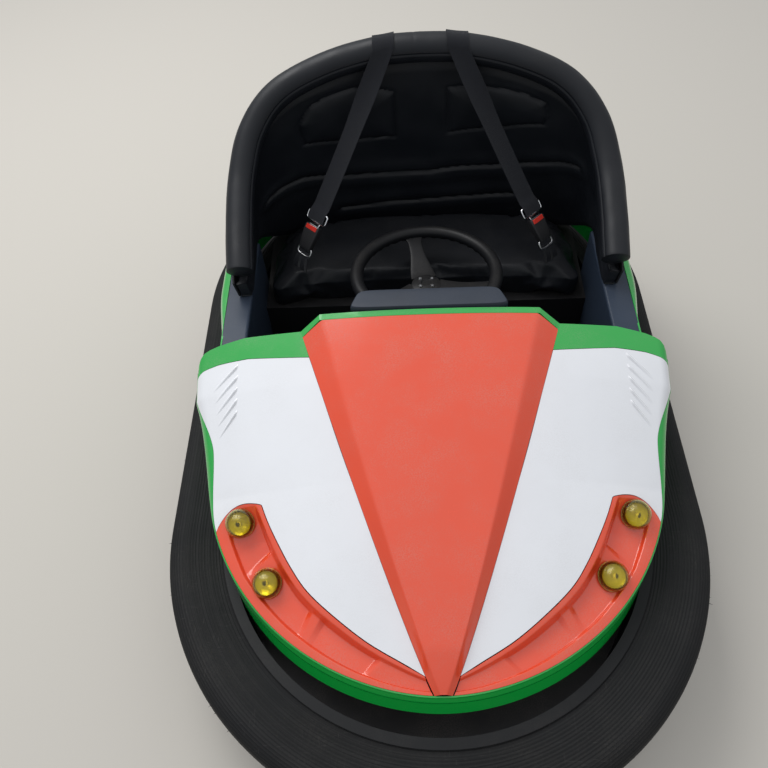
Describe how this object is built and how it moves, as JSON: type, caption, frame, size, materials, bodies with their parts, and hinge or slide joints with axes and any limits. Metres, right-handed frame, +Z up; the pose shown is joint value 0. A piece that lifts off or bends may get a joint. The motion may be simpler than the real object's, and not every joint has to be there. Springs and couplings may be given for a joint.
{
  "type": "fairground bumper car",
  "caption": "Two-seat fairground bumper car: rubber ring bumper, painted body with recessed lamps, wrap-round padded seat, lap belts, steered drive wheel and two rear wheels.",
  "frame": {"origin": "centre of the footprint on the ground", "axes": "+X across the car to the left of its driver, +Y to the rear, +Z up; the nose points to -Y"},
  "size_m": [1.15, 1.8, 0.8886],
  "materials": {
    "rim_steel": "gloss black paint, dusty",
    "bumper_rubber": "moulded tyre rubber, dusty",
    "chassis_steel": "semi-gloss black paint",
    "green_gelcoat": "glossy painted glass fibre",
    "white_gelcoat": "glossy painted glass fibre",
    "orange_gelcoat": "glossy painted glass fibre",
    "lamp_base_plastic": "moulded plastic",
    "amber_lens": "ribbed amber lens",
    "sill_plastic": "dark blue-grey, satin",
    "liner_plastic": "satin black glass fibre",
    "black_vinyl": "grained black vinyl",
    "dash_vinyl": "blue-black vinyl",
    "battery_case": "plain block",
    "pedal_steel": "worn plate",
    "belt_webbing": "woven webbing",
    "buckle_plastic": "moulded plastic",
    "belt_chrome": "bright plate",
    "wheel_foam": "satin moulded foam",
    "bright_steel": "ground shaft",
    "drive_casting": "painted casting",
    "motor_case": "semi-gloss grey",
    "wheel_rubber": "solid rubber"
  },
  "bodies": {
    "chassis": {"bumper_rim": "rim_steel", "bumper_tyre": "bumper_rubber", "floor_plate": "chassis_steel", "drive_well": "chassis_steel", "chain_case": "chassis_steel", "column_tube": "chassis_steel", "dash_bracket": "chassis_steel", "nose_band": "green_gelcoat", "fender_left": "white_gelcoat", "fender_right": "white_gelcoat", "cowl_strip": "green_gelcoat", "hood_wedge": "orange_gelcoat", "bezel_left": "orange_gelcoat", "bezel_right": "orange_gelcoat", "lamp_bases": "lamp_base_plastic", "lamp_domes": "amber_lens", "rear_body": "green_gelcoat", "sill_left": "sill_plastic", "sill_right": "sill_plastic", "seat_base": "liner_plastic", "seat_cushion": "black_vinyl", "back_shell": "liner_plastic", "back_pad": "black_vinyl", "back_roll": "black_vinyl", "dash_pad": "dash_vinyl", "battery": "battery_case", "pedal": "pedal_steel", "belt_left": "belt_webbing", "belt_right": "belt_webbing", "buckle_left": "buckle_plastic", "buckle_right": "buckle_plastic", "belt_tongues": "belt_chrome", "belt_stubs": "belt_webbing", "rear_bracket_left": "chassis_steel", "rear_bracket_right": "chassis_steel"},
    "steering": {"steering_wheel": "wheel_foam", "steering_shaft": "bright_steel"},
    "drive_unit": {"drive_fork": "drive_casting", "drive_motor": "motor_case"},
    "drive_wheel": {"drive_hub": "drive_casting", "drive_tyre": "wheel_rubber"},
    "rear_wheel_l": {"rear_wheel_left": "wheel_rubber"},
    "rear_wheel_r": {"rear_wheel_right": "wheel_rubber"}
  },
  "joints": [
    {"name": "drive_turn", "type": "hinge", "parent": "chassis", "child": "drive_unit", "pos_m": [0, -0.13, 0.25], "axis": [0, 0, 1], "range_deg": [-180, 180]},
    {"name": "steering_turn", "type": "hinge", "parent": "chassis", "child": "steering", "pos_m": [0, 0.165, 0.53], "axis": [0, 0.1392, 0.9903], "range_deg": [-180, 180]},
    {"name": "drive_spin", "type": "hinge", "parent": "drive_unit", "child": "drive_wheel", "pos_m": [0, -0.13, 0.108], "axis": [1, 0, 0], "continuous": true},
    {"name": "rear_spin_l", "type": "hinge", "parent": "chassis", "child": "rear_wheel_l", "pos_m": [-0.31, 0.41, 0.069], "axis": [1, 0, 0], "continuous": true},
    {"name": "rear_spin_r", "type": "hinge", "parent": "chassis", "child": "rear_wheel_r", "pos_m": [0.31, 0.41, 0.069], "axis": [1, 0, 0], "continuous": true}
  ],
  "couplings": [
    {"joint": "steering_turn", "follows": "drive_turn", "ratio": 1}
  ]
}
